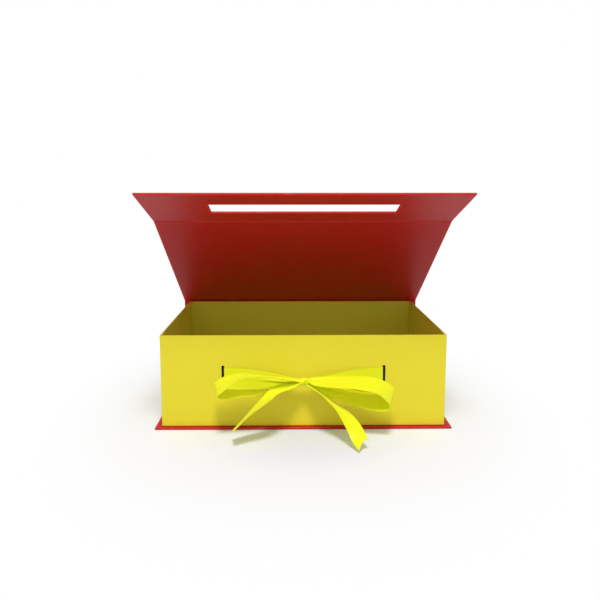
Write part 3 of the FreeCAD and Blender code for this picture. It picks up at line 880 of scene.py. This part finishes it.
LOOP_LEFT = [
    ((-3.6, 11.0, 1.4), (-3.6, 15.2, 0.4)),
    ((-23.5, 12.3, 4.4), (-23.4, 27.4, 7.2)),
    ((-41.1, 15.6, 7.5), (-40.3, 36.9, 11.2)),
    ((-53.3, 18.4, 10.1), (-54.0, 41.0, 12.2)),
    ((-63.2, 18.9, 10.8), (-63.9, 41.9, 10.3)),
    ((-72.6, 19.2, 9.9), (-71.4, 42.2, 5.7)),
    ((-81.6, 19.4, 7.4), (-77.9, 41.7, 0.5)),
    ((-88.4, 18.4, 3.8), (-83.1, 40.3, -4.2)),
    ((-92.0, 17.0, -0.1), (-86.3, 39.0, -7.4)),
    ((-92.6, 15.7, -3.2), (-86.7, 37.9, -9.5)),
    ((-90.7, 14.6, -6.0), (-84.8, 36.8, -10.9)),
    ((-87.2, 13.6, -7.2), (-81.5, 35.8, -11.3)),
    ((-82.2, 12.6, -7.9), (-76.7, 34.8, -11.2)),
    ((-70.4, 10.8, -8.8), (-66.7, 33.2, -10.2)),
    ((-56.0, 9.8, -10.7), (-53.6, 31.0, -9.3)),
    ((-44.0, 9.6, -10.9), (-42.0, 26.8, -8.8)),
    ((-30.0, 10.0, -9.0), (-29.0, 20.0, -7.6)),
    ((-16.0, 10.6, -6.0), (-16.0, 17.5, -5.8)),
    ((-3.6, 11.2, -2.6), (-3.6, 14.6, -3.0)),
]
LOOP_RIGHT = [
    ((3.6, 10.8, 1.8), (3.6, 14.0, 0.0)),
    ((8.4, 11.4, 3.8), (8.2, 20.0, -1.2)),
    ((18.6, 12.6, 5.1), (18.1, 27.6, -1.5)),
    ((32.0, 16.6, 6.6), (30.6, 38.0, 0.2)),
    ((48.1, 20.6, 8.1), (46.2, 42.6, 0.6)),
    ((64.3, 22.0, 7.9), (61.2, 43.7, -1.3)),
    ((77.6, 22.2, 5.1), (72.2, 43.5, -4.2)),
    ((86.0, 21.8, 0.9), (78.6, 42.0, -9.0)),
    ((91.7, 20.6, -3.8), (83.3, 40.4, -13.9)),
    ((93.7, 19.4, -7.9), (85.7, 39.5, -17.8)),
    ((93.3, 18.1, -10.9), (85.8, 38.5, -21.3)),
    ((90.4, 16.8, -12.7), (83.9, 37.4, -23.6)),
    ((86.6, 15.6, -13.4), (81.0, 36.2, -24.7)),
    ((81.8, 14.4, -13.6), (77.0, 35.0, -25.1)),
    ((72.0, 12.2, -13.4), (67.7, 33.0, -24.6)),
    ((58.5, 10.4, -11.6), (54.5, 31.0, -21.5)),
    ((42.9, 9.8, -8.8), (39.4, 28.4, -16.8)),
    ((27.3, 10.2, -6.0), (24.6, 24.0, -11.6)),
    ((14.0, 10.8, -3.4), (13.6, 18.6, -6.8)),
    ((3.6, 11.4, -1.4), (3.6, 14.6, -2.4)),
]
TAIL_LEFT = [
    ((-3.6, 12.6, -0.8), (-3.6, 16.0, -1.8)),
    ((-16.4, 14.0, -1.2), (-16.2, 25.1, -5.2)),
    ((-26.3, 18.0, -1.8), (-24.8, 34.0, -6.0)),
    ((-34.6, 25.5, -4.2), (-31.3, 45.5, -7.8)),
    ((-43.0, 32.6, -11.4), (-38.5, 52.5, -11.5)),
    ((-50.7, 34.4, -19.5), (-46.0, 55.4, -16.3)),
    ((-58.3, 36.0, -27.9), (-54.0, 57.6, -21.8)),
    ((-65.8, 38.4, -35.7), (-62.0, 60.2, -29.0)),
    ((-72.6, 41.0, -42.5), (-69.3, 63.0, -35.7)),
]
TAIL_RIGHT = [
    ((3.6, 12.6, -2.8), (3.6, 16.0, -3.4)),
    ((14.6, 13.8, -9.4), (12.3, 24.2, -6.9)),
    ((22.4, 15.4, -15.0), (18.8, 31.4, -10.0)),
    ((29.0, 18.0, -18.9), (24.7, 38.0, -14.4)),
    ((35.3, 21.4, -22.0), (29.7, 43.6, -18.5)),
    ((41.5, 25.5, -24.9), (34.2, 48.2, -24.2)),
    ((47.6, 31.0, -28.6), (38.0, 52.9, -30.5)),
    ((53.3, 40.0, -32.7), (42.0, 58.5, -37.7)),
    ((58.1, 52.2, -37.9), (46.4, 65.6, -46.1)),
    ((61.8, 65.4, -43.9), (51.9, 76.0, -51.0)),
]
LOOP_END_PLEATS = [(0.6, 0), (0.8, 0.5), (0.93, 1.0), (1, 0.7)]
LEFT_LOOP_PLEATS = [(0, 0.8), (0.1, 1.1), (0.3, 0.3), (0.45, 0), *LOOP_END_PLEATS]
RIGHT_LOOP_PLEATS = [(0, 0.7), (0.06, 0.7), (0.17, 0.2), (0.26, 0), *LOOP_END_PLEATS]
LOOP_CUP = [(0, 0), (0.25, 0.5), (0.5, 0), (0.75, -0.5), (1, 0)]
TAIL_PLEATS = [(0, 1.1), (0.2, 0.7), (0.4, 0.2), (1, 0)]
LEFT_TAIL_CUP = [(0, 0), (0.35, 1.6), (0.6, 1.0), (1, 0.2)]
RIGHT_TAIL_CUP = [(0, 0), (0.3, 0.2), (0.7, 1.6), (1, 1.6)]
ribbon_piece(
    "bow_loop_of_ribbon_left", LOOP_LEFT, LEFT_LOOP_PLEATS, LOOP_CUP, "bow_left_loop",
)
ribbon_piece(
    "bow_loop_of_ribbon_right", LOOP_RIGHT, RIGHT_LOOP_PLEATS, LOOP_CUP, "bow_right_loop",
)
ribbon_piece(
    "bow_tail_of_ribbon_left", TAIL_LEFT, TAIL_PLEATS, LEFT_TAIL_CUP, "bow_left_tail",
)
ribbon_piece(
    "bow_tail_of_ribbon_right", TAIL_RIGHT, TAIL_PLEATS, RIGHT_TAIL_CUP, "bow_right_tail",
    notch=(3.0, 0.3),
)

# Strands: the ribbon from each slot to the knot, flat at the slot and gathered at the
# knot. Each starts inside its slot and bends round the slot's edge.
STRAND_PLEATS = [(0, 0), (0.45, 0.1), (0.8, 0.9), (1, 0.8)]
STRAND_CUP = [(0, 0), (0.5, 0.3), (1, 0)]
for side_name, side in (("left", -1), ("right", 1)):
    strand = [
        ((side * 83.5, -0.35, 12.0), (side * 83.5, -0.35, -12.0)),
        ((side * 83.45, 0.12, 12.0), (side * 83.45, 0.12, -12.0)),
        ((side * 83.0, 0.35, 12.0), (side * 83.0, 0.35, -12.0)),
        ((side * 81.5, 0.55, 12.0), (side * 81.5, 0.55, -12.0)),
        ((side * 63.0, 2.0, 11.4), (side * 63.0, 2.0, -11.5)),
        ((side * 43.0, 4.3, 9.1), (side * 43.0, 4.3, -10.4)),
        ((side * 23.0, 7.2, 5.5), (side * 23.0, 7.2, -7.9)),
        ((side * 3.8, 9.8, 2.0), (side * 3.8, 9.8, -3.4)),
    ]
    ribbon_piece(
        f"strand_of_ribbon_{side_name}", strand, STRAND_PLEATS, STRAND_CUP,
        f"ribbon_{side_name}_strand",
    )

# Band: the ribbon's stretch behind the front wall, under its lining, from inside one
# slot to the other.
BAND_HALF = [(83.5, -0.4), (83.45, -1.8), (82.9, -2.25), (81.5, -2.32), (40, -2.32)]
BAND_MIDDLE = [(0, -2.32)]
FLAT = [(0, 0), (1, 0)]
band_line = [(-x, forward) for x, forward in BAND_HALF] + BAND_MIDDLE + BAND_HALF[::-1]
band = [((x, forward, 12.0), (x, forward, -12.0)) for x, forward in band_line]
ribbon_piece(
    "band_of_ribbon", band, FLAT, FLAT, "ribbon_band",
    smooth=False,
)

# Knot: the ribbon once round the crossing, drawn tight: pleats run over it from behind to
# the front, and its last turn tucks into a slanting slit beside the right loop.
KNOT_PLACE = Vector((0, wall_face - 12.5 * MM, RIBBON_LEVEL))
KNOT_HALF = 4.7 * MM
KNOT_END_RADIUS = 3.0
KNOT_SWELL = 1.1
KNOT_HEIGHT_SHARE = 0.95
KNOT_PLEAT = 0.2
KNOT_SLIT_DEPTH = 2.6
KNOT_SLIT_WIDTH = 0.2
KNOT_SLIT_PLACE = 0.42
KNOT_SLIT_SLANT = 0.32
KNOT_ROUND = 72
KNOT_SLICES = 48


def knot_radius(along, angle):
    """Radius (mm) at a place along the knot, -1 to 1, and an angle up from its front."""
    lobes = KNOT_SWELL * (1 - abs(along) ** 2.5)
    wide_pleats = KNOT_PLEAT * math.sin(along * 9 + 0.8 * math.sin(angle * 2))
    fine_pleats = KNOT_PLEAT / 2 * math.sin(along * 17 + angle)
    pleats = wide_pleats + fine_pleats
    slit_at = KNOT_SLIT_PLACE + KNOT_SLIT_SLANT * math.sin(angle)
    below_top = max(0.0, 1 - max(0.0, math.sin(angle) - 0.2) * 2)
    in_front = max(0.0, math.cos(angle)) ** 0.5 * below_top
    slit = KNOT_SLIT_DEPTH * in_front * math.exp(-(((along - slit_at) / KNOT_SLIT_WIDTH) ** 2))
    return KNOT_END_RADIUS + lobes + pleats - slit


knot_made = bmesh.new()
knot_rings = []
for i in range(KNOT_SLICES + 1):
    along = i / KNOT_SLICES * 2 - 1
    ring = []
    for j in range(KNOT_ROUND):
        angle = 2 * math.pi * j / KNOT_ROUND
        radius = knot_radius(along, angle) * MM
        forward = -math.cos(angle) * radius
        up = math.sin(angle) * radius * KNOT_HEIGHT_SHARE
        ring.append(knot_made.verts.new(KNOT_PLACE + Vector((along * KNOT_HALF, forward, up))))
    knot_rings.append(ring)
for ring, following in zip(knot_rings, knot_rings[1:]):
    for j in range(KNOT_ROUND):
        k = (j + 1) % KNOT_ROUND
        knot_made.faces.new((ring[j], ring[k], following[k], following[j]))
for ring in (knot_rings[0], knot_rings[-1]):
    middle = knot_made.verts.new(sum((corner.co for corner in ring), Vector()) / KNOT_ROUND)
    for j in range(KNOT_ROUND):
        knot_made.faces.new((ring[j], ring[(j + 1) % KNOT_ROUND], middle))
bmesh.ops.recalc_face_normals(knot_made, faces=knot_made.faces)
knot_uv = knot_made.loops.layers.uv.new("ribbon")
for knot_face in knot_made.faces:
    for loop in knot_face.loops:
        at = loop.vert.co - KNOT_PLACE
        loop[knot_uv].uv = (math.atan2(at.z, -at.y) * 4 * MM, RIBBON_WIDTH / 2 + at.x * 2)
knot_mesh = bpy.data.meshes.new("knot_of_ribbon")
knot_made.to_mesh(knot_mesh)
knot_made.free()
knot_mesh.shade_smooth()
knot_mesh.materials.append(satin)
knot = bpy.data.objects.new("knot_of_ribbon", knot_mesh)
scene.collection.objects.link(knot)
dress(knot, "bow_knot", "front_wall")
